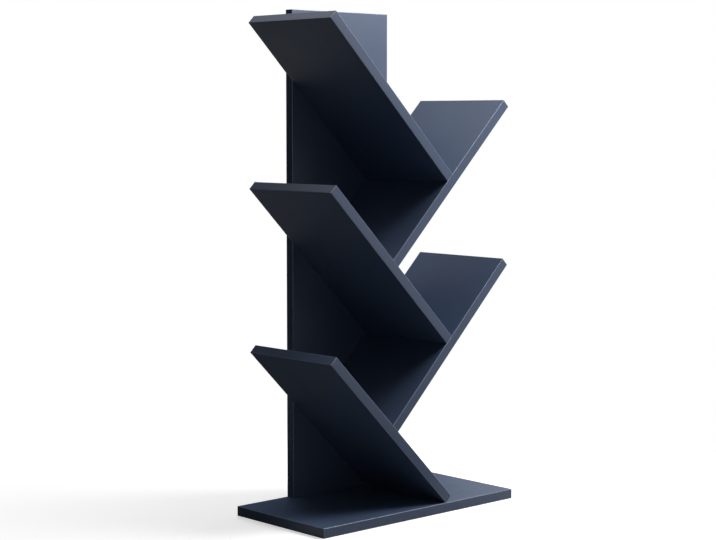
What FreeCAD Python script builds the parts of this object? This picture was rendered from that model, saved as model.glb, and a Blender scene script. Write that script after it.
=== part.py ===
import FreeCAD, Part
import os
from math import cos, radians, sin, tan

# A small free-standing bookshelf in the shape of a tree. An upright trunk panel stands on the back of a flat
# base. Five slanting shelves branch from it: the left ones run down to the right, the right ones stand square
# on them. Each shelf ends against the middle of the next one below, and the lowest comes down to the base.
# Millimetres, X to the right, Y to the back, Z up. The origin is the centre of the base's underside.

Vector = FreeCAD.Vector

# Boards
board_thickness = 15.0
base_width = 400.0
base_depth = 200.0
trunk_width = 200.0
trunk_rise = 13.0
shelf_length = 335.0
left_slope = 45.0

# Edge strips glued round the boards, eased outside to a narrow land beside the board's face
strip_thickness = 1.0
strip_land = 0.2

# Furniture screws with a sunk head and a hexagon socket
screw_length = 48.0
head_diameter = 10.0
head_rim = 1.0
head_cone = 2.0
shank_diameter = 7.0
thread_diameter = 6.2
tip_length = 5.0
tip_diameter = 3.0
socket_width = 4.0
socket_depth = 3.0

# Caps that close the screw holes flush with the board, with a stem in the screw's socket
cap_thickness = 1.5
cap_stem_length = 2.0
cap_stem_fit = 0.3

# Wooden dowels
dowel_diameter = 8.0
dowel_length = 30.0
dowel_chamfer = 1.0
dowel_depth_in_face = 9.0

# Places of the fasteners: from the front and back of a shelf, from its end and from the sides of the trunk
joint_screw_inset = 46.0
shelf_end_inset = 52.0
trunk_side_inset = 25.0

# Clearances between a fastener and its bore
bore_fit = 0.1
bore_end_gap = 1.0

# Names of the shelves, lowest first
left_names = ("bottom_left", "middle_left", "top_left")
right_names = ("lower_right", "upper_right")

# Sizes that follow from those above
strip_easing = strip_thickness - strip_land
shelf_depth = base_depth - board_thickness
base_top = board_thickness
front_y = -base_depth / 2
back_y = base_depth / 2
trunk_front_y = back_y - board_thickness
shelf_middle_y = (front_y + trunk_front_y) / 2
slope = radians(left_slope)
down_right = Vector(cos(slope), 0, -sin(slope))
up_right = Vector(sin(slope), 0, cos(slope))

# How far down a left shelf the right one stands, and how far up a right shelf the left one ends
right_foot_lead = (shelf_length - board_thickness) / 2
left_end_rise = (shelf_length - right_foot_lead) / tan(slope)

# The eased lower edge of the bottom shelf touches the base, and the shelves are centred over it
easing_drop = strip_easing * (cos(slope) + sin(slope) - 1)
bottom_shelf_z = base_top - easing_drop + board_thickness * cos(slope) + shelf_length * sin(slope)
shelf_span = (right_foot_lead + board_thickness) * cos(slope) + (shelf_length + board_thickness) * sin(slope)
left_shelf_x = board_thickness * sin(slope) - shelf_span / 2

along_x = Vector(1, 0, 0)
along_y = Vector(0, 1, 0)
along_z = Vector(0, 0, 1)


def shelf_origins():
    """The upper corner of each left shelf's top end and of each right shelf's foot, lowest first."""
    left = [Vector(left_shelf_x, shelf_middle_y, bottom_shelf_z)]
    right = []
    for _ in right_names:
        foot = left[-1] + down_right * right_foot_lead
        right.append(foot)
        left.append(foot + up_right * left_end_rise - down_right * shelf_length)
    return left, right


def banded_board(length, width, start=True):
    """A board lying under the XY plane from X = 0, as its core and its edge strips.

    The near and far long edges have strips over the whole length, and the ends have strips between those.
    Without start, the end at X = 0 is left raw.
    """
    half = width / 2
    inner = half - strip_thickness
    first = strip_thickness if start else 0
    last = length - strip_thickness

    def slab(x0, x1, y0, y1):
        return Part.makeBox(x1 - x0, y1 - y0, board_thickness, Vector(x0, y0, -board_thickness))

    block = slab(0, length, -half, half)
    eased = [edge for edge in block.Edges if start or edge.CenterOfMass.x > strip_thickness]
    block = block.makeFillet(strip_easing, eased)
    pieces = {
        "core": slab(first, last, -inner, inner),
        "near": block.common(slab(0, length, -half, -inner)),
        "far": block.common(slab(0, length, inner, half)),
        "finish": block.common(slab(last, length, -inner, inner)),
    }
    if start:
        pieces["start"] = block.common(slab(0, first, -inner, inner))
    return pieces


def turned(profile):
    """The solid that a profile of (radius, height) points sweeps round the Z axis."""
    points = [Vector(radius, 0, height) for radius, height in profile]
    face = Part.Face(Part.makePolygon(points + points[:1]))
    return face.revolve(Vector(), along_z, 360)


def screw_body(top, fit, end_gap):
    """A screw sunk below a board's surface at Z = 0 and pointing along +Z, grown by a fit and an end gap."""
    head = head_diameter / 2 + fit
    shank = shank_diameter / 2 + fit
    thread = thread_diameter / 2 + fit
    head_end = cap_thickness + head_rim
    cone_end = head_end + head_cone
    tip = cap_thickness + screw_length + end_gap
    return turned([
        (0, top), (head, top), (head, head_end), (shank, cone_end), (shank, board_thickness),
        (thread, board_thickness), (thread, tip - tip_length), (tip_diameter / 2 + fit, tip), (0, tip),
    ])


def screw():
    """A furniture screw with its hexagon socket."""
    corner = socket_width / (2 * cos(radians(30)))
    points = []
    for side in range(7):
        turn = radians(60 * side)
        points.append(Vector(corner * cos(turn), corner * sin(turn), cap_thickness))
    socket = Part.Face(Part.makePolygon(points)).extrude(along_z * socket_depth)
    return screw_body(cap_thickness, 0, 0).cut(socket)


def screw_bore():
    """The stepped hole for a screw and its cap."""
    return screw_body(0, bore_fit, bore_end_gap)


def cap():
    """A cap over a screw's head, with a stem in its socket."""
    disc = Part.makeCylinder(head_diameter / 2, cap_thickness)
    stem = Part.makeCylinder(socket_width / 2 - cap_stem_fit, cap_stem_length, along_z * cap_thickness)
    return disc.fuse(stem).removeSplitter()


def dowel_body(fit, end_gap):
    """A dowel across the plane Z = 0, its short part above, grown by a fit and an end gap."""
    radius = dowel_diameter / 2 + fit
    bottom = dowel_depth_in_face - dowel_length - end_gap
    top = dowel_depth_in_face + end_gap
    neck = radius - dowel_chamfer
    return turned([
        (0, bottom), (neck, bottom), (radius, bottom + dowel_chamfer), (radius, top - dowel_chamfer),
        (neck, top), (0, top),
    ])


def placed(shape, point, direction):
    """A copy of a shape whose +Z axis points along a direction from a point."""
    copy = shape.copy()
    copy.Placement = FreeCAD.Placement(point, FreeCAD.Rotation(along_z, direction))
    return copy


class Fasteners:
    """Screws, dowels and caps by the name of their node, and the bores that they need."""

    def __init__(self):
        self.groups = {}
        self.bores = []

    def add(self, node, shape, bore, point, direction):
        self.groups.setdefault(node, []).append(placed(shape, point, direction))
        if bore:
            self.bores.append(placed(bore, point, direction))

    def add_screw(self, node, point, direction, cap_node=None):
        self.add(node, screw(), screw_bore(), point, direction)
        if cap_node:
            self.add(cap_node, cap(), None, point, direction)

    def add_dowel(self, node, point, direction):
        self.add(node, dowel_body(0, 0), dowel_body(bore_fit, bore_end_gap), point, direction)


def add_joint(fasteners, name, joint, into_shelf):
    """Screws and dowels across the end of a shelf that stands square on another.

    The joint is the middle of that end, and into_shelf points from it along the shelf. The dowels lie half
    way between the screws and the middle.
    """
    screw_y = shelf_depth / 2 - joint_screw_inset
    head = joint - into_shelf * board_thickness
    for side in (-1, 1):
        across = along_y * side * screw_y
        fasteners.add_screw(name + "_screws", head + across, into_shelf, "shelf_joint_caps")
        fasteners.add_dowel(name + "_dowels", joint + across / 2, -into_shelf)


def add_trunk_screws(fasteners, name, joint, into_shelf, side):
    """Screws through the trunk's back into a shelf's back edge.

    One lies near the shelf's end, the middle of which is the joint. The other lies near that side of the
    trunk, -1 for left and 1 for right, where the shelf leaves it.
    """
    side_x = side * (trunk_width / 2 - trunk_side_inset)
    for distance in (shelf_end_inset, (side_x - joint.x) / into_shelf.x):
        point = joint + into_shelf * distance
        point.y = back_y
        fasteners.add_screw(name + "_trunk_screws", point, -along_y, "trunk_back_caps")


def add_trunk_foot(fasteners):
    """Screws through the base into the trunk's foot, with dowels half way between them and the middle."""
    middle_y = (trunk_front_y + back_y) / 2
    for side in (-1, 1):
        x = side * (trunk_width / 2 - trunk_side_inset)
        fasteners.add_screw("trunk_foot_screws", Vector(x, middle_y, 0), along_z)
        fasteners.add_dowel("trunk_foot_dowels", Vector(x / 2, middle_y, base_top), -along_z)


def lay(pieces, name, placement, side_names):
    """The pieces of a board in their place, by the names of their nodes."""
    nodes = {}
    for key, solid in pieces.items():
        solid.Placement = placement.multiply(solid.Placement)
        nodes[name if key == "core" else name + "_strip_" + side_names[key]] = solid
    return nodes


def base_nodes():
    pieces = banded_board(base_width, base_depth)
    placement = FreeCAD.Placement(Vector(-base_width / 2, 0, base_top), FreeCAD.Rotation())
    sides = {"near": "front", "far": "back", "start": "left", "finish": "right"}
    return lay(pieces, "base_board", placement, sides)


def trunk_nodes(trunk_top):
    pieces = banded_board(trunk_top - base_top, trunk_width, start=False)
    upright = FreeCAD.Rotation(along_z, -along_x, -along_y, "ZXY")
    placement = FreeCAD.Placement(Vector(0, trunk_front_y, base_top), upright)
    sides = {"near": "right", "far": "left", "finish": "top"}
    return lay(pieces, "trunk_panel", placement, sides)


def shelf_nodes(name, origin, turn, start_name, finish_name):
    pieces = banded_board(shelf_length, shelf_depth)
    placement = FreeCAD.Placement(origin, FreeCAD.Rotation(along_y, turn))
    sides = {"near": "front", "far": "back", "start": start_name, "finish": finish_name}
    return lay(pieces, name, placement, sides)


def drilled(solid, bores):
    """A solid with every bore that reaches it cut out."""
    for bore in bores:
        if solid.BoundBox.intersect(bore.BoundBox):
            solid = solid.cut(bore)
    return solid


def build():
    """Every node of the bookshelf by its name."""
    left_origins, right_origins = shelf_origins()
    half_board = board_thickness / 2
    fasteners = Fasteners()
    boards = base_nodes()
    boards.update(trunk_nodes(left_origins[-1].z + trunk_rise))

    for name, origin in zip(left_names, left_origins):
        boards.update(shelf_nodes(name + "_shelf", origin, left_slope, "upper_end", "lower_end"))
        end = origin + down_right * shelf_length - up_right * half_board
        add_trunk_screws(fasteners, name, end, -down_right, -1)
        if name != left_names[0]:
            add_joint(fasteners, name + "_end", end, -down_right)

    for name, origin in zip(right_names, right_origins):
        boards.update(shelf_nodes(name + "_shelf", origin, left_slope - 90, "foot", "tip"))
        foot = origin + down_right * half_board
        add_trunk_screws(fasteners, name, foot, up_right, 1)
        add_joint(fasteners, name + "_foot", foot, up_right)

    add_trunk_foot(fasteners)
    nodes = {name: drilled(solid, fasteners.bores) for name, solid in boards.items()}
    for name, solids in fasteners.groups.items():
        nodes[name] = Part.makeCompound(solids)
    return nodes


os.makedirs("parts", exist_ok=True)
for node, shape in build().items():
    shape.exportStep("parts/" + node + ".step")
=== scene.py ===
from math import atan2, cos, pi, radians

import bmesh
import bpy
from bpy.props import FloatProperty, FloatVectorProperty, IntProperty, PointerProperty
from mathutils import Euler, Matrix, Vector


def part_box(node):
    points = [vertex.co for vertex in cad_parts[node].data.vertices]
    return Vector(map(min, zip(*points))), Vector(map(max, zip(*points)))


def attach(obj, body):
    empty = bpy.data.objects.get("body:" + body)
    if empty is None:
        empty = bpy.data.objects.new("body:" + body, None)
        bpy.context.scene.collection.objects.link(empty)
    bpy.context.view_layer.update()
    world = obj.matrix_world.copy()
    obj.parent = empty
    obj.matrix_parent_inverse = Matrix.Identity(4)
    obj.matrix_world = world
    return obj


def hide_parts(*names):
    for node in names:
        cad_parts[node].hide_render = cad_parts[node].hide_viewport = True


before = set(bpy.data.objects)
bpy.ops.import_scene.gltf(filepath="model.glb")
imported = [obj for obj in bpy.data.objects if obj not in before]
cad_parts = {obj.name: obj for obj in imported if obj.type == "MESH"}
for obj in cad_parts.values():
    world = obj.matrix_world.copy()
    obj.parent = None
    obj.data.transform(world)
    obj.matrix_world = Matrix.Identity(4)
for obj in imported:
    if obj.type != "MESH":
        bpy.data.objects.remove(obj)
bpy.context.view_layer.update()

bl_info = {
    "name": "Tree Bookshelf",
    "version": (1, 0, 0),
    "blender": (4, 5, 0),
    "location": "View3D > Sidebar > Bookshelf",
    "description": "Finishes a tree shaped bookshelf, down to its screws and dowels, and sets its stage",
    "category": "Object",
}

BODY = "root"
MILLIMETRE = 0.001
TOUCH = 1e-6
BLACK = (0, 0, 0, 1)
WHITE = (1, 1, 1, 1)

# A board's own axes
ALONG, ACROSS, OUT = range(3)

# Each board with the names of its edge strips, which lie at the start and at the finish of its length, and
# near and far across it
LEFT_SHELF_SIDES = ("upper_end", "lower_end", "front", "back")
RIGHT_SHELF_SIDES = ("foot", "tip", "front", "back")
BOARDS = {
    "base_board": ("left", "right", "front", "back"),
    "trunk_panel": (None, "top", "right", "left"),
    "bottom_left_shelf": LEFT_SHELF_SIDES,
    "middle_left_shelf": LEFT_SHELF_SIDES,
    "top_left_shelf": LEFT_SHELF_SIDES,
    "lower_right_shelf": RIGHT_SHELF_SIDES,
    "upper_right_shelf": RIGHT_SHELF_SIDES,
}

# A face attribute that is 1 on an eased edge, and a point attribute with a turned piece's own coordinates
ARRIS = "arris"
OWN_PLACE = "own_place"

# Finishes: the main pattern's share where two are blended, how far the marks round a screw and the flecks
# along a dowel are drawn out, and the Mix node's sockets for colours, which share their names with others
MAIN_SHARE = 0.7
DRAWN_OUT = 0.15
FIRST_COLOUR, SECOND_COLOUR, MIXED_COLOUR = 6, 7, 2

# Shading: edges sharper than this stay sharp, and the large faces set the direction of the normals
SHARP_EDGE = radians(35)
LARGE_FACE_WEIGHT = 100

# A screw's thread: half its width at the root and at the crest, as shares of the pitch, and the radius of its
# root, which is sunk in the core, as a share of the core's
THREAD_ROOT = 0.22
THREAD_CREST = 0.03
THREAD_SEAT = 0.96

# A cap's crown: points of its curve, as shares of the cap's radius and of the crown's height, and the facets
# of its rounded rim
CROWN_CURVE = ((0, 0), (0.5, 0.25), (0.75, 0.56), (1, 1))
RIM_FACETS = 4

# Stage: the width of the camera's sensor in millimetres, and facets of the floor and of the screen
SENSOR_WIDTH = 36.0
FLOOR_FACETS = 64
SCREEN_FACETS = 36

# The floor's greys: for the light that it throws up, and as the boards mirror it close to the front of the
# base, round the shelf and far from it
FLOOR_BOUNCE = 0.31
FLOOR_BY_BASE = 0.5
FLOOR_NEAR = 0.05
FLOOR_FAR = 0.9

# Where parts of the floor start and where they are full, in metres: its white and its far grey by their
# distance from the middle, the grey by the base by its distance and by how far back it is, the mirrored
# white by how far it is to the right, and the break in that white by how far back it is and by its distance
WHITE_RANGE = (0.25, 0.8)
FAR_RANGE = (0.8, 1.05)
BASE_RANGE = (0.3, 0.22)
FRONT_RANGE = (0.1, -0.05)
RIGHT_RANGE = (0.05, 0.4)
BREAK_FRONT_RANGE = (-0.1, -0.3)
BREAK_RANGE = (2.5, 1.5)


def nodes_of(word):
    """The CAD nodes whose name ends with a word."""
    return [node for node in sorted(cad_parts) if node.endswith(word)]


def centre(node):
    """The middle of a CAD node's box."""
    low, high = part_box(node)
    return (low + high) / 2


class BoardSettings(bpy.types.PropertyGroup):
    """The melamine faces of the boards."""

    colour: FloatVectorProperty(
        name="Navy", description="Colour of the melamine face", subtype="COLOR", size=3, min=0, max=1,
        default=(0.049, 0.074, 0.132))
    mottle: FloatProperty(
        name="Mottle", description="How far the tone drifts over a board", subtype="FACTOR", min=0, max=1,
        default=0.12)
    drift_size: FloatProperty(
        name="Drift size", description="Width of the slow changes of tone", unit="LENGTH", min=0.001,
        default=110 * MILLIMETRE)
    roughness: FloatProperty(
        name="Satin", description="Middle roughness of the face", subtype="FACTOR", min=0, max=1,
        default=0.40)
    smear_size: FloatProperty(
        name="Smear size", description="Width of the dull marks that handling leaves", unit="LENGTH",
        min=0.001, default=45 * MILLIMETRE)
    smear_dulling: FloatProperty(
        name="Smear dulling", description="How much rougher those marks are", subtype="FACTOR", min=0, max=1,
        default=0.05)
    pearl_size: FloatProperty(
        name="Pearl size", description="Width of one bump of the pressed texture", unit="LENGTH", min=0.0001,
        default=0.7 * MILLIMETRE)
    pearl_depth: FloatProperty(
        name="Pearl depth", description="Height of the pressed texture", unit="LENGTH", min=0,
        default=0.02 * MILLIMETRE)
    chip_size: FloatProperty(
        name="Chip size", description="Width of the core's chips that telegraph through the face",
        unit="LENGTH", min=0.001, default=9 * MILLIMETRE)
    chip_depth: FloatProperty(
        name="Chip depth", description="How far those chips stand up", unit="LENGTH", min=0.000001,
        default=0.012 * MILLIMETRE)


class StripSettings(bpy.types.PropertyGroup):
    """The plastic strips glued round the boards."""

    colour: FloatVectorProperty(
        name="Strip navy", description="Colour of the strip's face", subtype="COLOR", size=3, min=0, max=1,
        default=(0.051, 0.076, 0.136))
    mottle: FloatProperty(
        name="Strip mottle", description="How far the tone drifts along a strip", subtype="FACTOR", min=0,
        max=1, default=0.1)
    drift_size: FloatProperty(
        name="Strip drift size", description="Width of the slow changes of tone", unit="LENGTH", min=0.001,
        default=70 * MILLIMETRE)
    roughness: FloatProperty(
        name="Strip satin", description="Middle roughness of the strip", subtype="FACTOR", min=0, max=1,
        default=0.365)
    skin_size: FloatProperty(
        name="Strip skin size", description="Width of one bump of the strip's skin", unit="LENGTH",
        min=0.00001, default=0.5 * MILLIMETRE)
    skin_depth: FloatProperty(
        name="Strip skin depth", description="Height of the strip's skin", unit="LENGTH", min=0,
        default=0.006 * MILLIMETRE)
    # The scraped colour is partly the pale of plastic that the scraper went over and partly a painted
    # highlight along the eased edge; the nicks break that pale line.
    scraped_highlight_colour: FloatVectorProperty(
        name="Scraped navy", description="Paler colour where the scraper eased the edge", subtype="COLOR",
        size=3, min=0, max=1, default=(0.24, 0.28, 0.38))
    scraped_gloss: FloatProperty(
        name="Scraped gloss", description="How much less rough the scraped edge is", subtype="FACTOR", min=0,
        max=1, default=0.06)
    nick_size: FloatProperty(
        name="Nick size", description="Length of the breaks in the scraped line", unit="LENGTH", min=0.0001,
        default=6 * MILLIMETRE)
    nicked: FloatProperty(
        name="Nicked", description="How much of the pale line those breaks take away", subtype="FACTOR",
        min=0, max=1, default=0.25)
    land: FloatProperty(
        name="Land", description="Width left flat beside the board's face", unit="LENGTH", min=0.0001,
        default=0.2 * MILLIMETRE)
    glue_line: FloatProperty(
        name="Glue line", description="Width of the fine groove along the board", unit="LENGTH", min=0.00002,
        default=0.08 * MILLIMETRE)
    steps: IntProperty(
        name="Steps", description="Facets round an eased edge", min=2, max=12, default=6)


class CapSettings(bpy.types.PropertyGroup):
    """The pressed-in caps over the screws."""

    colour: FloatVectorProperty(
        name="Cap navy", description="Colour of the caps", subtype="COLOR", size=3, min=0, max=1,
        default=(0.042, 0.060, 0.110))
    mottle: FloatProperty(
        name="Cap mottle", description="How far the tone differs between caps", subtype="FACTOR", min=0,
        max=1, default=0.08)
    drift_size: FloatProperty(
        name="Cap drift size", description="Width of the changes of tone", unit="LENGTH", min=0.001,
        default=20 * MILLIMETRE)
    roughness: FloatProperty(
        name="Cap satin", description="Middle roughness of the caps", subtype="FACTOR", min=0, max=1,
        default=0.42)
    skin_size: FloatProperty(
        name="Cap skin size", description="Width of one bump of the moulded skin", unit="LENGTH", min=0.00001,
        default=0.3 * MILLIMETRE)
    skin_depth: FloatProperty(
        name="Cap skin depth", description="Height of the moulded skin", unit="LENGTH", min=0,
        default=0.015 * MILLIMETRE)
    width: FloatProperty(
        name="Cap width", description="Diameter of a cap", unit="LENGTH", min=0.001,
        default=10 * MILLIMETRE)
    thickness: FloatProperty(
        name="Cap thickness", description="Thickness of a cap's disc", unit="LENGTH", min=0.0005,
        default=1.5 * MILLIMETRE)
    stem_width: FloatProperty(
        name="Stem width", description="Diameter of the stem in the screw's socket", unit="LENGTH",
        min=0.0005, default=3.4 * MILLIMETRE)
    stem_length: FloatProperty(
        name="Stem length", description="Length of the stem", unit="LENGTH", min=0.0005,
        default=2 * MILLIMETRE)
    crown: FloatProperty(
        name="Crown", description="How far the middle of a cap stands above its rim", unit="LENGTH", min=0,
        default=0.2 * MILLIMETRE)
    rim: FloatProperty(
        name="Rim", description="Radius of a cap's rounded rim", unit="LENGTH", min=0.0001,
        default=0.35 * MILLIMETRE)
    facets: IntProperty(
        name="Cap facets", description="Facets round a cap", min=16, max=96, default=48)


class ScrewSettings(bpy.types.PropertyGroup):
    """The furniture screws in the joints."""

    zinc: FloatVectorProperty(
        name="Zinc", description="Colour of the plated screws", subtype="COLOR", size=3, min=0, max=1,
        default=(0.546, 0.53625, 0.507))
    clouding: FloatProperty(
        name="Clouding", description="How far the plating's tone varies", subtype="FACTOR", min=0, max=1,
        default=0.1282)
    cloud_size: FloatProperty(
        name="Cloud size", description="Width of the plating's clouds", unit="LENGTH", min=0.0001,
        default=2 * MILLIMETRE)
    roughness: FloatProperty(
        name="Zinc satin", description="Middle roughness of the plating", subtype="FACTOR", min=0, max=1,
        default=0.35)
    mark_size: FloatProperty(
        name="Mark size", description="Width of a turning mark", unit="LENGTH", min=0.00001,
        default=0.15 * MILLIMETRE)
    mark_depth: FloatProperty(
        name="Mark depth", description="Depth of a turning mark", unit="LENGTH", min=0,
        default=0.008 * MILLIMETRE)
    length: FloatProperty(
        name="Screw length", description="From the head to the tip", unit="LENGTH", min=0.01,
        default=48 * MILLIMETRE)
    head_width: FloatProperty(
        name="Head width", description="Diameter of the head", unit="LENGTH", min=0.004,
        default=10 * MILLIMETRE)
    head_rim: FloatProperty(
        name="Head rim", description="Height of the head's rim", unit="LENGTH", min=0.0002,
        default=1 * MILLIMETRE)
    head_cone: FloatProperty(
        name="Head cone", description="Height of the cone under the rim", unit="LENGTH", min=0.0002,
        default=2 * MILLIMETRE)
    shank_width: FloatProperty(
        name="Shank width", description="Diameter of the plain shank", unit="LENGTH", min=0.002,
        default=7 * MILLIMETRE)
    shank_end: FloatProperty(
        name="Shank end", description="From the head to the end of the plain shank", unit="LENGTH", min=0.004,
        default=13.5 * MILLIMETRE)
    core_width: FloatProperty(
        name="Core width", description="Diameter between the threads", unit="LENGTH", min=0.002,
        default=5.2 * MILLIMETRE)
    thread_width: FloatProperty(
        name="Thread width", description="Diameter over the threads", unit="LENGTH", min=0.002,
        default=7 * MILLIMETRE)
    pitch: FloatProperty(
        name="Pitch", description="From one thread to the next", unit="LENGTH", min=0.001,
        default=3 * MILLIMETRE)
    tip: FloatProperty(
        name="Tip", description="Length of the tapered tip", unit="LENGTH", min=0.001,
        default=5 * MILLIMETRE)
    tip_width: FloatProperty(
        name="Tip width", description="Diameter of the tip's blunt end", unit="LENGTH", min=0.0005,
        default=3 * MILLIMETRE)
    socket_width: FloatProperty(
        name="Socket width", description="Across the flats of the hexagon socket", unit="LENGTH", min=0.001,
        default=4 * MILLIMETRE)
    socket_depth: FloatProperty(
        name="Socket depth", description="Depth of the hexagon socket", unit="LENGTH", min=0.001,
        default=3 * MILLIMETRE)
    facets: IntProperty(
        name="Screw facets", description="Facets round a screw, a multiple of six", min=12, max=96, step=6,
        default=48)


class DowelSettings(bpy.types.PropertyGroup):
    """The fluted dowels in the joints."""

    beech: FloatVectorProperty(
        name="Beech", description="Pale colour of the dowels' wood", subtype="COLOR", size=3, min=0, max=1,
        default=(0.60, 0.42, 0.25))
    beech_grain: FloatVectorProperty(
        name="Beech grain", description="Darker colour of the dowels' grain", subtype="COLOR", size=3, min=0,
        max=1, default=(0.38, 0.23, 0.12))
    drift_size: FloatProperty(
        name="Dowel drift size", description="Width of the slow changes of tone", unit="LENGTH", min=0.001,
        default=12 * MILLIMETRE)
    roughness: FloatProperty(
        name="Dowel roughness", description="Middle roughness of the raw wood", subtype="FACTOR", min=0,
        max=1, default=0.655)
    grain_size: FloatProperty(
        name="Grain size", description="Width of a fleck of the grain", unit="LENGTH", min=0.00001,
        default=0.6 * MILLIMETRE)
    grain_depth: FloatProperty(
        name="Grain depth", description="How far the grain stands up", unit="LENGTH", min=0,
        default=0.02 * MILLIMETRE)
    width: FloatProperty(
        name="Dowel width", description="Diameter of a dowel", unit="LENGTH", min=0.002,
        default=8 * MILLIMETRE)
    length: FloatProperty(
        name="Dowel length", description="Length of a dowel", unit="LENGTH", min=0.005,
        default=30 * MILLIMETRE)
    chamfer: FloatProperty(
        name="Dowel chamfer", description="Chamfer round a dowel's ends", unit="LENGTH", min=0.0001,
        default=1 * MILLIMETRE)
    flutes: IntProperty(
        name="Flutes", description="Glue flutes round a dowel", min=6, max=48, default=24)
    flute_depth: FloatProperty(
        name="Flute depth", description="Depth of a flute", unit="LENGTH", min=0, default=0.3 * MILLIMETRE)


class StageSettings(bpy.types.PropertyGroup):
    """Camera, lamps, floor and surroundings."""

    camera_place: FloatVectorProperty(
        name="Camera", description="Where the camera stands", subtype="TRANSLATION", unit="LENGTH", size=3,
        default=(-1.8273, -1.94743, 0.60546))
    camera_tilt: FloatProperty(
        name="Tilt", description="How far the camera looks down", subtype="ANGLE", default=radians(5.01))
    camera_heading: FloatProperty(
        name="Heading", description="How far the camera is turned to the right of the shelf's own depth",
        subtype="ANGLE", default=radians(42.52))
    camera_lens: FloatProperty(
        name="Lens", description="Focal length in millimetres, for the sensor's width", unit="CAMERA", min=10,
        default=87.287)
    aim: FloatVectorProperty(
        name="Aim", description="The point that every lamp faces", subtype="TRANSLATION", unit="LENGTH",
        size=3, default=(0, 0, 0.45))
    key_place: FloatVectorProperty(
        name="Key lamp", description="Where the key lamp hangs", subtype="TRANSLATION", unit="LENGTH", size=3,
        default=(0.62, -0.52, 1.27))
    key_power: FloatProperty(
        name="Key power", description="Power of the key lamp", subtype="POWER", min=0, default=20.5)
    key_size: FloatProperty(
        name="Key size", description="Width of the key lamp", unit="LENGTH", min=0.05, default=0.6)
    card_place: FloatVectorProperty(
        name="Card", description="Where the pale card stands", subtype="TRANSLATION", unit="LENGTH", size=3,
        default=(0.95, 0.25, 0.45))
    card_power: FloatProperty(
        name="Card power", description="Power of the light from the pale card", subtype="POWER", min=0,
        default=1.4)
    card_size: FloatProperty(
        name="Card size", description="Width of the pale card", unit="LENGTH", min=0.05, default=0.9)
    top_place: FloatVectorProperty(
        name="Top lamp", description="Where the top lamp hangs", subtype="TRANSLATION", unit="LENGTH", size=3,
        default=(-0.1, 0.1, 2.0))
    top_power: FloatProperty(
        name="Top power", description="Power of the top lamp", subtype="POWER", min=0, default=11.5)
    top_size: FloatProperty(
        name="Top size", description="Width of the top lamp", unit="LENGTH", min=0.05, default=1.0)
    back_place: FloatVectorProperty(
        name="Back lamp", description="Where the back lamp hangs", subtype="TRANSLATION", unit="LENGTH",
        size=3, default=(0.9, 1.5, 1.1))
    back_power: FloatProperty(
        name="Back power", description="Power of the back lamp", subtype="POWER", min=0, default=18.0)
    back_size: FloatProperty(
        name="Back size", description="Width of the back lamp", unit="LENGTH", min=0.05, default=1.0)
    surround: FloatProperty(
        name="Surroundings", description="Strength of the light from all round", min=0, default=0.07)
    floor_radius: FloatProperty(
        name="Floor radius", description="How far the floor reaches", unit="LENGTH", min=1.0, default=6.0)
    floor_colour: FloatVectorProperty(
        name="Floor", description="Colour of the floor near the shelf", subtype="COLOR", size=3, min=0, max=1,
        default=(0.8, 0.8, 0.8))
    floor_lift: FloatProperty(
        name="Floor lift", description="Light added to the floor near the shelf, so that its shadow is soft",
        min=0, default=0.45)
    screen_radius: FloatProperty(
        name="Screen radius", description="How far the dark screen stands from the shelf", unit="LENGTH",
        min=0.5, default=1.1)
    screen_height: FloatProperty(
        name="Screen height", description="Height of the dark screen", unit="LENGTH", min=0.1, default=1.5)
    screen_start: FloatProperty(
        name="Screen start", description="Where the screen starts, anticlockwise from the right",
        subtype="ANGLE", default=radians(25))
    screen_sweep: FloatProperty(
        name="Screen sweep", description="How far the screen goes round", subtype="ANGLE",
        default=radians(180))
    screen_grey: FloatProperty(
        name="Screen grey", description="Grey of the screen's cloth", subtype="FACTOR", min=0, max=1,
        default=0.02)


class BookshelfSettings(bpy.types.PropertyGroup):
    """Everything that can be changed on the bookshelf."""

    boards: PointerProperty(type=BoardSettings)
    strips: PointerProperty(type=StripSettings)
    caps: PointerProperty(type=CapSettings)
    screws: PointerProperty(type=ScrewSettings)
    dowels: PointerProperty(type=DowelSettings)
    stage: PointerProperty(type=StageSettings)



class Level:
    """A socket that carries a value over the surface and can be written into sums and products."""

    def __init__(self, nodes, socket):
        self.nodes = nodes
        self.socket = socket

    def maths(self, operation, first, second):
        """The outcome of a Math node on two values."""
        return self.nodes.add("ShaderNodeMath", {"operation": operation}, {0: first, 1: second})

    def __add__(self, other):
        return self.maths("ADD", self, other)

    def __radd__(self, other):
        return self.maths("ADD", other, self)

    def __sub__(self, other):
        return self.maths("SUBTRACT", self, other)

    def __rsub__(self, other):
        return self.maths("SUBTRACT", other, self)

    def __mul__(self, other):
        return self.maths("MULTIPLY", self, other)

    def __rmul__(self, other):
        return self.maths("MULTIPLY", other, self)


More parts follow.
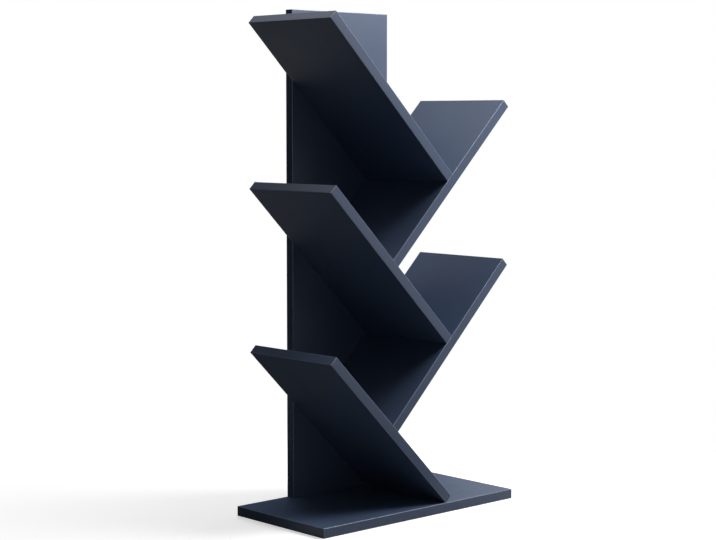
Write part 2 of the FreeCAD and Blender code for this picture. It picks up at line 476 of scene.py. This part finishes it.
class Nodes:
    """The node tree of a material or of the surroundings."""

    def __init__(self, owner):
        owner.use_nodes = True
        self.owner = owner
        self.tree = owner.node_tree
        self.tree.nodes.clear()

    def add(self, kind, settings=None, sockets=None, output=0):
        """Adds a node of any type, sets it up, then fills or links its sockets and hands back one output."""
        node = self.tree.nodes.new(kind)
        for name, value in (settings or {}).items():
            if name == "stops":
                self.set_stops(node.color_ramp, value)
            else:
                setattr(node, name, value)
        for name, value in (sockets or {}).items():
            if isinstance(value, Level):
                self.tree.links.new(value.socket, node.inputs[name])
            else:
                node.inputs[name].default_value = value
        return Level(self, node.outputs[output]) if len(node.outputs) else None

    def set_stops(self, ramp, stops):
        """Gives a colour ramp its stops."""
        while len(ramp.elements) > 1:
            ramp.elements.remove(ramp.elements[-1])
        for index, (place, colour) in enumerate(stops):
            stop = ramp.elements.new(place) if index else ramp.elements[0]
            stop.position = place
            stop.color = colour

    def place(self):
        """The place on a piece, in the frame of the whole bookshelf."""
        return self.add("ShaderNodeTexCoord", output="Object")

    def own_place(self):
        """The place on a turned piece before it was set in its joint, with Z along it."""
        return self.add("ShaderNodeAttribute", {"attribute_name": OWN_PLACE}, None, "Vector")

    def stretched(self, place, scale):
        """A place with each of its axes scaled on its own."""
        return self.add("ShaderNodeMapping", {"vector_type": "POINT"}, {"Vector": place, "Scale": scale})

    def noise(self, place, width, detail=2.0, roughness=0.5):
        """Cloudy noise whose blotches are about so wide."""
        sockets = {"Vector": place, "Scale": 1 / width, "Detail": detail, "Roughness": roughness}
        return self.add("ShaderNodeTexNoise", {"noise_dimensions": "3D"}, sockets, "Fac")

    def mask(self, level, low, high):
        """A level turned into a mask, black up to low and white from high."""
        stops = ((low, BLACK), (high, WHITE))
        return self.add("ShaderNodeValToRGB", {"stops": stops}, {"Fac": level})

    def fade(self, level, start, full):
        """0 at one value of a level, 1 at another, which may be lower, and a smooth change between them."""
        sockets = {"Value": level, "From Min": start, "From Max": full}
        return self.add("ShaderNodeMapRange", {"interpolation_type": "SMOOTHSTEP"}, sockets)

    def mix(self, factor, first, second):
        """A colour between two others."""
        sockets = {"Factor": factor, FIRST_COLOUR: first, SECOND_COLOUR: second}
        return self.add("ShaderNodeMix", {"data_type": "RGBA"}, sockets, MIXED_COLOUR)

    def mottled(self, level, colour, mottle):
        """A colour that goes from a little darker to a little lighter as a level rises."""
        return self.mix(level, solid(colour, 1 - mottle), solid(colour, 1 + mottle))

    def bump(self, height, depth):
        """A normal for a height from 0 to 1 that stands so far out."""
        return self.add("ShaderNodeBump", None, {"Height": height, "Strength": 1.0, "Distance": depth})

    def rays(self, *kinds):
        """1 for the rays of any of these kinds, and 0 for the others."""
        chosen = None
        for kind in kinds:
            ray = self.add("ShaderNodeLightPath", output="Is " + kind + " Ray")
            chosen = ray.maths("MAXIMUM", chosen, ray) if chosen else ray
        return chosen

    def matt(self, colour):
        """A matt surface of one colour."""
        return self.add("ShaderNodeBsdfDiffuse", None, {"Color": solid(colour)})

    def glow(self, strength):
        """A surface that gives off white light."""
        return self.add("ShaderNodeEmission", None, {"Color": WHITE, "Strength": strength})

    def between(self, factor, first, second):
        """A surface between two others."""
        return self.add("ShaderNodeMixShader", None, {0: factor, 1: first, 2: second})


def solid(colour, share=1.0):
    """A plain colour with its alpha, darkened or lightened by a share."""
    return tuple(min(1.0, part * share) for part in colour) + (1.0,)


def grey(level):
    """A colour with no hue."""
    return (level, level, level)


def blended(main, other):
    """A level that is mostly one pattern and partly another."""
    return main * MAIN_SHARE + other * (1 - MAIN_SHARE)


def swing(level, width):
    """A pattern that goes from 0 to 1, as a swing of some width about nothing."""
    return (level - 0.5) * width


def new_finish(name):
    """An empty material."""
    return Nodes(bpy.data.materials.new(name))


def close_finish(nodes, surface):
    """Ends a material with its surface."""
    nodes.add("ShaderNodeOutputMaterial", None, {"Surface": surface})
    return nodes.owner


def satin_finish(nodes, colour, roughness, normal, metallic=0.0):
    """Ends a material with a satin surface."""
    return close_finish(nodes, nodes.add("ShaderNodeBsdfPrincipled", None, {
        "Base Color": colour, "Roughness": roughness, "Normal": normal, "Metallic": metallic,
    }))


def melamine(settings):
    """Navy melamine with a fine pressed pearl, over a core whose chips just show in the gloss."""
    nodes = new_finish("navy_melamine")
    place = nodes.place()
    pearl = nodes.noise(place, settings.pearl_size)
    chips = nodes.noise(place, settings.chip_size, detail=3)
    drift = nodes.noise(place, settings.drift_size, detail=3)
    smears = nodes.noise(place, settings.smear_size, detail=5, roughness=0.62)
    smeared = nodes.mask(smears, low=0.48, high=0.72)
    colour = nodes.mottled(blended(drift, pearl), settings.colour, settings.mottle)
    satin = settings.roughness + swing(drift, 0.08) + swing(pearl, 0.06)
    roughness = satin + smeared * settings.smear_dulling
    height = pearl * (settings.pearl_depth / settings.chip_depth) + chips
    return satin_finish(nodes, colour, roughness, nodes.bump(height, settings.chip_depth))


def edge_plastic(settings):
    """Navy strip with a finer, glossier skin, paler along the arrises, partly where the scraper went over
    them and partly as a painted highlight.
    """
    nodes = new_finish("navy_edge_strip")
    place = nodes.place()
    skin = nodes.noise(place, settings.skin_size)
    drift = nodes.noise(place, settings.drift_size, detail=3)
    nicks = nodes.noise(place, settings.nick_size, detail=4, roughness=0.6)
    unbroken = nodes.mask(nicks, low=0.42, high=0.62)
    arris = nodes.add("ShaderNodeAttribute", {"attribute_name": ARRIS}, None, "Fac")
    # Pale arris line: partly scraped plastic and partly a painted highlight, broken by the nicks
    scraped_highlight = arris * (1 - settings.nicked + settings.nicked * unbroken)
    face = nodes.mottled(blended(drift, skin), settings.colour, settings.mottle)
    colour = nodes.mix(scraped_highlight, face, solid(settings.scraped_highlight_colour))
    satin = settings.roughness + swing(drift, 0.06) + swing(skin, 0.05)
    roughness = satin - scraped_highlight * settings.scraped_gloss
    return satin_finish(nodes, colour, roughness, nodes.bump(skin, settings.skin_depth))


def cap_plastic(settings):
    """Moulded navy plastic with a fine spark-eroded skin."""
    nodes = new_finish("navy_cap")
    place = nodes.place()
    skin = nodes.noise(place, settings.skin_size, detail=3)
    drift = nodes.noise(place, settings.drift_size)
    colour = nodes.mottled(drift, settings.colour, settings.mottle)
    roughness = settings.roughness + swing(skin, 0.12)
    return satin_finish(nodes, colour, roughness, nodes.bump(skin, settings.skin_depth))


def zinc_plate(settings):
    """Bright zinc with a faint clouding and fine turning marks round the screw."""
    nodes = new_finish("zinc_plate")
    place = nodes.own_place()
    cloud = nodes.noise(place, settings.cloud_size, detail=4)
    marks = nodes.noise(nodes.stretched(place, (DRAWN_OUT, DRAWN_OUT, 1)), settings.mark_size)
    colour = nodes.mottled(cloud, settings.zinc, settings.clouding)
    roughness = settings.roughness + swing(cloud, 0.16) + swing(marks, 0.06)
    return satin_finish(nodes, colour, roughness, nodes.bump(marks, settings.mark_depth), metallic=1.0)


def beech_wood(settings):
    """Raw beech with short dark flecks along the dowel."""
    nodes = new_finish("raw_beech")
    place = nodes.own_place()
    grain = nodes.noise(
        nodes.stretched(place, (1, 1, DRAWN_OUT)), settings.grain_size, detail=4, roughness=0.6)
    drift = nodes.noise(place, settings.drift_size)
    flecks = nodes.mask(grain, low=0.5, high=0.7)
    colour = nodes.mix(blended(flecks, drift), solid(settings.beech), solid(settings.beech_grain))
    roughness = settings.roughness + swing(grain, 0.15)
    return satin_finish(nodes, colour, roughness, nodes.bump(grain, settings.grain_depth))


def give_finish(objects, material):
    """Puts a material in every slot of each object."""
    for piece in objects:
        if not piece.material_slots:
            piece.data.materials.append(material)
        for slot in piece.material_slots:
            slot.material = material


def new_object(name, bm, material):
    """Makes a finished mesh an object of the scene."""
    mesh = bpy.data.meshes.new(name)
    bm.to_mesh(mesh)
    bm.free()
    thing = bpy.data.objects.new(name, mesh)
    bpy.context.scene.collection.objects.link(thing)
    give_finish([thing], material)
    return thing


def new_piece(name, bm, node, material):
    """Makes a finished mesh a piece of the bookshelf that stands for a CAD node."""
    piece = new_object(name, bm, material)
    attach(piece, BODY)
    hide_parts(node)
    smooth_finish(piece)


def smooth_finish(piece):
    """Smooth shading that keeps the large faces flat."""
    for face in piece.data.polygons:
        face.use_smooth = True
    piece.data.set_sharp_from_angle(angle=SHARP_EDGE)
    flats = piece.modifiers.new("flat_faces", "WEIGHTED_NORMAL")
    flats.weight = LARGE_FACE_WEIGHT
    flats.keep_sharp = True


def board_axes(board):
    """The turn whose columns point along a board, across it and out of its face."""
    _, finish, near, far = BOARDS[board]
    along = (centre(board + "_strip_" + finish) - centre(board)).normalized()
    across = (centre(board + "_strip_" + far) - centre(board + "_strip_" + near)).normalized()
    return Matrix((along, across, along.cross(across))).transposed()


def box_along(node, turn):
    """A node's lowest and highest corners measured along a board's own axes."""
    back = turn.transposed()
    points = [back @ vertex.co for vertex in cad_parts[node].data.vertices]
    low = Vector([min(point[axis] for point in points) for axis in range(3)])
    high = Vector([max(point[axis] for point in points) for axis in range(3)])
    return low, high


def strip_block(low, high):
    """A plain block between two corners."""
    bm = bmesh.new()
    bmesh.ops.create_cube(bm, size=1.0)
    bmesh.ops.scale(bm, vec=high - low, verts=bm.verts)
    bmesh.ops.translate(bm, vec=(low + high) / 2, verts=bm.verts)
    return bm


def lies_on(edge, axis, place):
    """Whether both ends of an edge lie on a plane across an axis."""
    return all(abs(vertex.co[axis] - place) < TOUCH for vertex in edge.verts)


def ease(bm, edges, width, facets):
    """Rounds some edges, or with one facet cuts them off flat."""
    bmesh.ops.bevel(bm, geom=edges, offset=width, segments=facets, profile=0.5, affect="EDGES", material=-1)


def eased_strip(low, high, axis, side, open_ends, settings):
    """A strip whose outer edges are eased, on the side of an axis that faces away from the board.

    The open ends, low and high along the strip's length, are eased with it. A closed end butts on another
    strip or on the base. The two long edges beside the board's faces have a fine glue line.
    """
    bm = strip_block(low, high)
    length_axis = ACROSS if axis == ALONG else ALONG
    inner = low[axis] if side > 0 else high[axis]
    ends = (low[length_axis], high[length_axis])
    closed = [place for place, is_open in zip(ends, open_ends) if not is_open]
    eased, glued = [], []
    for edge in bm.edges:
        if lies_on(edge, axis, inner):
            if not any(lies_on(edge, length_axis, place) for place in ends):
                glued.append(edge)
        elif not any(lies_on(edge, length_axis, place) for place in closed):
            eased.append(edge)
    ease(bm, glued, settings.glue_line, 1)
    eased = [edge for edge in eased if edge.is_valid]
    ease(bm, eased, high[axis] - low[axis] - settings.land, settings.steps)
    return bm


def mark_arrises(bm):
    """Notes on each face how far it is turned between the board's axes.

    That is 1 in the middle of an arris and 0 on a flat.
    """
    bm.normal_update()
    layer = bm.faces.layers.float.new(ARRIS)
    for face in bm.faces:
        x, y, z = (abs(part) for part in face.normal)
        face[layer] = min(1.0, 2 * max(x * y, y * z, z * x))


def separate_solids(node):
    """The corner points of each separate solid in a CAD node."""
    bm = bmesh.new()
    bm.from_mesh(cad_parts[node].data)
    bmesh.ops.remove_doubles(bm, verts=bm.verts, dist=TOUCH)
    seen, groups = set(), []
    for first in bm.verts:
        if first in seen:
            continue
        seen.add(first)
        group = [first]
        for vertex in group:
            for other in (edge.other_vert(vertex) for edge in vertex.link_edges):
                if other not in seen:
                    seen.add(other)
                    group.append(other)
        groups.append([vertex.co.copy() for vertex in group])
    bm.free()
    return groups


def stance(points, flat):
    """The place and turn of a turned solid.

    Its wide end is the origin, and its Z axis runs to the other end. A flat solid is wider than it is long.
    """
    axes = [axis for board in ("base_board", "top_left_shelf") for axis in board_axes(board).col]

    def extent(axis):
        heights = [point.dot(axis) for point in points]
        return max(heights) - min(heights)

    axis = min(axes, key=extent) if flat else max(axes, key=extent)
    ends = []
    for way in (axis, -axis):
        first = min(point.dot(way) for point in points)
        ring = [point for point in points if point.dot(way) < first + TOUCH]
        middle = sum(ring, Vector()) / len(ring)
        ends.append((max((point - middle).length for point in ring), middle, way))
    _, middle, way = max(ends, key=lambda end: end[0])
    return Matrix.Translation(middle) @ way.to_track_quat("Z", "Y").to_matrix().to_4x4()


def spun(profile, facets):
    """A closed turned shape about Z from (radius, height) points that start and end on the axis."""
    bm = bmesh.new()
    points = [bm.verts.new((radius, 0, height)) for radius, height in profile]
    lines = [bm.edges.new(pair) for pair in zip(points, points[1:])]
    bmesh.ops.spin(
        bm, geom=points + lines, cent=(0, 0, 0), axis=(0, 0, 1), angle=2 * pi, steps=facets, use_merge=True)
    bmesh.ops.remove_doubles(bm, verts=bm.verts, dist=TOUCH)
    bmesh.ops.recalc_face_normals(bm, faces=bm.faces)
    return bm


def whole_region(faces):
    """Faces with their edges and corners, as an extrusion needs them to leave no face inside."""
    edges = {edge for face in faces for edge in face.edges}
    corners = {vertex for face in faces for vertex in face.verts}
    return list(faces) + list(edges) + list(corners)


def push_out(bm, region, way):
    """Extrudes a region some way, and hands back the new region and its corners."""
    region = bmesh.ops.extrude_face_region(bm, geom=region)["geom"]
    corners = [item for item in region if isinstance(item, bmesh.types.BMVert)]
    bmesh.ops.translate(bm, vec=way, verts=corners)
    return region, corners


def crowned_cap(settings):
    """A cap with a low crown, a rounded rim and a stem."""
    radius, stem = settings.width / 2, settings.stem_width / 2
    foot = settings.thickness + settings.stem_length
    crown = [(radius * out, settings.crown * down) for out, down in CROWN_CURVE]
    back = [(radius, settings.thickness), (stem, settings.thickness), (stem, foot), (0, foot)]
    bm = spun(crown + back, settings.facets)
    rim = [edge for edge in bm.edges if lies_on(edge, OUT, settings.crown)]
    ease(bm, rim, settings.rim, RIM_FACETS)
    return bm


def threaded_screw(settings):
    """A screw with a hexagon socket in its sunk head, a plain shank and a coarse thread."""
    head, shank, core = settings.head_width / 2, settings.shank_width / 2, settings.core_width / 2
    cone_end = settings.head_rim + settings.head_cone
    core_start = settings.shank_end + shank - core
    core_end = settings.length - settings.tip
    bm = spun((
        (0, 0), (head, 0), (head, settings.head_rim), (shank, cone_end), (shank, settings.shank_end),
        (core, core_start), (core, core_end), (settings.tip_width / 2, settings.length), (0, settings.length),
    ), settings.facets)
    sink_socket(bm, settings)
    wind_thread(bm, settings, settings.shank_end + settings.pitch, core_end)
    bmesh.ops.recalc_face_normals(bm, faces=bm.faces)
    return bm


def sink_socket(bm, settings):
    """Sinks a hexagon socket into the flat top of a screw's head, at Z = 0."""
    flat = settings.socket_width / 2
    top = [face for face in bm.faces if all(abs(vertex.co.z) < TOUCH for vertex in face.verts)]
    bmesh.ops.inset_region(bm, faces=top, thickness=settings.head_width / 2 - flat, use_even_offset=True)
    ring = {vertex for face in top for vertex in face.verts if vertex.co.length > flat / 2}
    for vertex in ring:
        off_flat = atan2(vertex.co.y, vertex.co.x) % (pi / 3) - pi / 6
        vertex.co *= flat / cos(off_flat) / vertex.co.length
    push_out(bm, whole_region(top), (0, 0, settings.socket_depth))


def wind_thread(bm, settings, start, end):
    """Winds a ridge round the core of a screw from one height to another."""
    seat, crest = settings.core_width / 2 * THREAD_SEAT, settings.thread_width / 2
    root, edge = settings.pitch * THREAD_ROOT, settings.pitch * THREAD_CREST
    turns = (end - start) / settings.pitch
    section = [
        bm.verts.new((radius, 0, start + height))
        for radius, height in ((seat, -root), (crest, -edge), (crest, edge), (seat, root))]
    face = bm.faces.new(section)
    steps_a_turn = settings.facets // 2
    bmesh.ops.spin(
        bm, geom=[face] + list(face.edges) + section, cent=(0, 0, 0), axis=(0, 0, 1),
        dvec=(0, 0, settings.pitch / steps_a_turn), angle=2 * pi * turns, steps=round(steps_a_turn * turns))


def fluted_dowel(settings):
    """A dowel with glue flutes along it and chamfered ends."""
    radius = settings.width / 2
    neck = 1 - settings.chamfer / radius
    bm = bmesh.new()
    bmesh.ops.create_circle(bm, cap_ends=True, segments=2 * settings.flutes, radius=radius)
    for vertex in list(bm.verts)[::2]:
        vertex.co *= 1 - settings.flute_depth / radius
    bmesh.ops.scale(bm, vec=(neck, neck, 1), verts=bm.verts)
    end = whole_region(bm.faces)
    straight = settings.length - 2 * settings.chamfer
    for rise, share in ((settings.chamfer, 1 / neck), (straight, 1), (settings.chamfer, neck)):
        end, corners = push_out(bm, end, (0, 0, rise))
        bmesh.ops.scale(bm, vec=(share, share, 1), verts=corners)
    bmesh.ops.recalc_face_normals(bm, faces=bm.faces)
    return bm


def set_in_joints(nodes, better, shape, flat, material):
    """Replaces CAD nodes by pieces with a copy of a turned shape in the place of each of their solids."""
    layer = shape.verts.layers.float_vector.new(OWN_PLACE)
    for vertex in shape.verts:
        vertex[layer] = vertex.co
    pattern = bpy.data.meshes.new("pattern")
    shape.to_mesh(pattern)
    shape.free()
    for node in nodes:
        bm = bmesh.new()
        for points in separate_solids(node):
            bm.from_mesh(pattern)
            bm.verts.ensure_lookup_table()
            fresh = bm.verts[-len(pattern.vertices):]
            bmesh.ops.transform(bm, matrix=stance(points, flat), verts=fresh)
        group, kind = node.rsplit("_", 1)
        new_piece("_".join((group, better, kind)), bm, node, material)
    bpy.data.meshes.remove(pattern)


class DressBoards(bpy.types.Operator):
    """Give the boards their navy melamine faces"""

    bl_idname = "bookshelf.dress_boards"
    bl_label = "Dress the boards"

    def execute(self, context):
        settings = context.scene.bookshelf.boards
        give_finish([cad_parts[board] for board in BOARDS], melamine(settings))
        return {"FINISHED"}


class LayEdgeStrips(bpy.types.Operator):
    """Lay an eased strip round the edges of every board"""

    bl_idname = "bookshelf.lay_edge_strips"
    bl_label = "Lay the edge strips"

    def execute(self, context):
        settings = context.scene.bookshelf.strips
        material = edge_plastic(settings)
        for board, (start, finish, near, far) in BOARDS.items():
            turn = board_axes(board)
            long_ends = (start is not None, True)
            for name, axis, side, open_ends in (
                (start, ALONG, -1, (False, False)),
                (finish, ALONG, 1, (False, False)),
                (near, ACROSS, -1, long_ends),
                (far, ACROSS, 1, long_ends),
            ):
                if name is None:
                    continue
                node = board + "_strip_" + name
                low, high = box_along(node, turn)
                bm = eased_strip(low, high, axis, side, open_ends, settings)
                mark_arrises(bm)
                bmesh.ops.rotate(bm, matrix=turn, verts=bm.verts)
                new_piece(board + "_" + name + "_edge", bm, node, material)
        return {"FINISHED"}


class PressCaps(bpy.types.Operator):
    """Press a crowned cap over every screw that shows"""

    bl_idname = "bookshelf.press_caps"
    bl_label = "Press in the caps"

    def execute(self, context):
        settings = context.scene.bookshelf.caps
        shape, material = crowned_cap(settings), cap_plastic(settings)
        set_in_joints(nodes_of("_caps"), "crowned", shape, True, material)
        return {"FINISHED"}


class DriveScrews(bpy.types.Operator):
    """Drive a threaded screw into every bore"""

    bl_idname = "bookshelf.drive_screws"
    bl_label = "Drive the screws"

    def execute(self, context):
        settings = context.scene.bookshelf.screws
        shape, material = threaded_screw(settings), zinc_plate(settings)
        set_in_joints(nodes_of("_screws"), "threaded", shape, False, material)
        return {"FINISHED"}


class SetDowels(bpy.types.Operator):
    """Set a fluted dowel in every dowel hole"""

    bl_idname = "bookshelf.set_dowels"
    bl_label = "Set the dowels"

    def execute(self, context):
        settings = context.scene.bookshelf.dowels
        shape, material = fluted_dowel(settings), beech_wood(settings)
        set_in_joints(nodes_of("_dowels"), "fluted", shape, False, material)
        return {"FINISHED"}


def white_surroundings(settings):
    """A white world to look at, also in a reflection or through glass, and a weaker one to be lit by."""
    world = bpy.data.worlds.new("surroundings")
    bpy.context.scene.world = world
    nodes = Nodes(world)
    seen = nodes.rays("Camera", "Glossy", "Transmission")
    strength = seen + (1 - seen) * settings.surround
    light = nodes.add("ShaderNodeBackground", None, {"Color": WHITE, "Strength": strength})
    nodes.add("ShaderNodeOutputWorld", None, {"Surface": light})


def pale_floor(settings):
    """A pale floor that takes the shelf's shadow and turns white away from it.

    The boards mirror it like that on the right, but for a break in front of the shelf. There and elsewhere
    they mirror a floor that is dull round the shelf, and paler close to the front of the base and far away.
    The light that it throws up is that of a grey floor, so that the undersides stay deep in tone.
    """
    nodes = new_finish("pale_floor")
    place = nodes.place()
    across = nodes.add("ShaderNodeSeparateXYZ", None, {"Vector": place}, "X")
    depth = nodes.add("ShaderNodeSeparateXYZ", None, {"Vector": place}, "Y")
    distance = nodes.add("ShaderNodeVectorMath", {"operation": "LENGTH"}, {0: place}, "Value")
    mirrored = nodes.rays("Glossy")

    lit, lift = nodes.matt(settings.floor_colour), nodes.glow(settings.floor_lift)
    shaded = nodes.add("ShaderNodeAddShader", None, {0: lit, 1: lift})
    shown = nodes.between(nodes.fade(distance, *WHITE_RANGE), shaded, nodes.glow(1.0))

    beside = nodes.fade(distance, *BASE_RANGE) * nodes.fade(depth, *FRONT_RANGE)
    near = nodes.between(beside, nodes.matt(grey(FLOOR_NEAR)), nodes.matt(grey(FLOOR_BY_BASE)))
    mirror = nodes.between(nodes.fade(distance, *FAR_RANGE), near, nodes.matt(grey(FLOOR_FAR)))
    dull = nodes.between(mirrored, nodes.matt(grey(FLOOR_BOUNCE)), mirror)

    gap = nodes.fade(depth, *BREAK_FRONT_RANGE) * nodes.fade(distance, *BREAK_RANGE)
    seen = nodes.rays("Camera", "Transmission") + mirrored * nodes.fade(across, *RIGHT_RANGE) * (1 - gap)
    return close_finish(nodes, nodes.between(seen, dull, shown))


def dark_cloth(settings):
    """The matt cloth of the screen."""
    nodes = new_finish("dark_cloth")
    return close_finish(nodes, nodes.matt(grey(settings.screen_grey)))


def soft_lamp(name, place, aim, power, size):
    """A square lamp that faces a point."""
    lamp = bpy.data.lights.new(name, "AREA")
    lamp.shape = "SQUARE"
    lamp.size = size
    lamp.energy = power
    holder = bpy.data.objects.new(name, lamp)
    holder.location = place
    holder.rotation_euler = (Vector(aim) - Vector(place)).to_track_quat("-Z", "Y").to_euler()
    bpy.context.scene.collection.objects.link(holder)
    return holder


class SetStage(bpy.types.Operator):
    """Set up the camera, the lamps, the floor and the surroundings"""

    bl_idname = "bookshelf.set_stage"
    bl_label = "Set the stage"

    def execute(self, context):
        settings = context.scene.bookshelf.stage
        self.place_camera(context, settings)
        self.lay_floor(settings)
        self.stand_screen(settings)
        self.hang_lamps(settings)
        white_surroundings(settings)
        context.scene.view_settings.view_transform = "Standard"
        return {"FINISHED"}

    def place_camera(self, context, settings):
        """The camera, where the photograph was taken from."""
        camera = bpy.data.cameras.new("photo_camera")
        camera.sensor_fit = "HORIZONTAL"
        camera.sensor_width = SENSOR_WIDTH
        camera.lens = settings.camera_lens
        holder = bpy.data.objects.new("photo_camera", camera)
        holder.location = settings.camera_place
        holder.rotation_euler = Euler((pi / 2 - settings.camera_tilt, 0, -settings.camera_heading))
        context.scene.collection.objects.link(holder)
        context.scene.camera = holder

    def lay_floor(self, settings):
        """A round floor under the shelf."""
        bm = bmesh.new()
        bmesh.ops.create_circle(bm, cap_ends=True, segments=FLOOR_FACETS, radius=settings.floor_radius)
        floor = new_object("floor", bm, pale_floor(settings))

    def stand_screen(self, settings):
        """A dark screen round the left and the back, which keeps those sides deep in tone and isn't seen."""
        bm = bmesh.new()
        foot = bm.verts.new((settings.screen_radius, 0, 0))
        head = bm.verts.new((settings.screen_radius, 0, settings.screen_height))
        post = bm.edges.new((foot, head))
        bmesh.ops.rotate(bm, matrix=Matrix.Rotation(settings.screen_start, 3, "Z"), verts=bm.verts)
        bmesh.ops.spin(
            bm, geom=[foot, head, post], cent=(0, 0, 0), axis=(0, 0, 1), angle=settings.screen_sweep,
            steps=SCREEN_FACETS)
        screen = new_object("dark_screen", bm, dark_cloth(settings))
        screen.visible_camera = False
        screen.visible_shadow = False

    def hang_lamps(self, settings):
        """Four soft lamps, of which the boards don't mirror the one at the back."""
        aim = settings.aim
        soft_lamp("key_lamp", settings.key_place, aim, settings.key_power, settings.key_size)
        soft_lamp("pale_card", settings.card_place, aim, settings.card_power, settings.card_size)
        soft_lamp("top_lamp", settings.top_place, aim, settings.top_power, settings.top_size)
        back = soft_lamp("back_lamp", settings.back_place, aim, settings.back_power, settings.back_size)
        back.visible_glossy = False


class BookshelfPanel(bpy.types.Panel):
    """The bookshelf's steps and settings"""

    bl_idname = "VIEW3D_PT_tree_bookshelf"
    bl_label = "Tree Bookshelf"
    bl_space_type = "VIEW_3D"
    bl_region_type = "UI"
    bl_category = "Bookshelf"

    def draw(self, context):
        for step in STEPS:
            self.layout.operator(step.bl_idname)
        settings = context.scene.bookshelf
        for part in settings.__annotations__:
            group = getattr(settings, part)
            column = self.layout.box().column()
            for name in group.__annotations__:
                column.prop(group, name)


STEPS = (DressBoards, LayEdgeStrips, PressCaps, DriveScrews, SetDowels, SetStage)
CLASSES = (
    BoardSettings, StripSettings, CapSettings, ScrewSettings, DowelSettings, StageSettings, BookshelfSettings,
) + STEPS + (BookshelfPanel,)


def register():
    for item in CLASSES:
        bpy.utils.register_class(item)
    bpy.types.Scene.bookshelf = PointerProperty(type=BookshelfSettings)


def unregister():
    del bpy.types.Scene.bookshelf
    for item in reversed(CLASSES):
        bpy.utils.unregister_class(item)


def main():
    register()
    bpy.ops.bookshelf.dress_boards()
    bpy.ops.bookshelf.lay_edge_strips()
    bpy.ops.bookshelf.press_caps()
    bpy.ops.bookshelf.drive_screws()
    bpy.ops.bookshelf.set_dowels()
    bpy.ops.bookshelf.set_stage()
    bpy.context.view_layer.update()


if __name__ == "__main__":
    main()
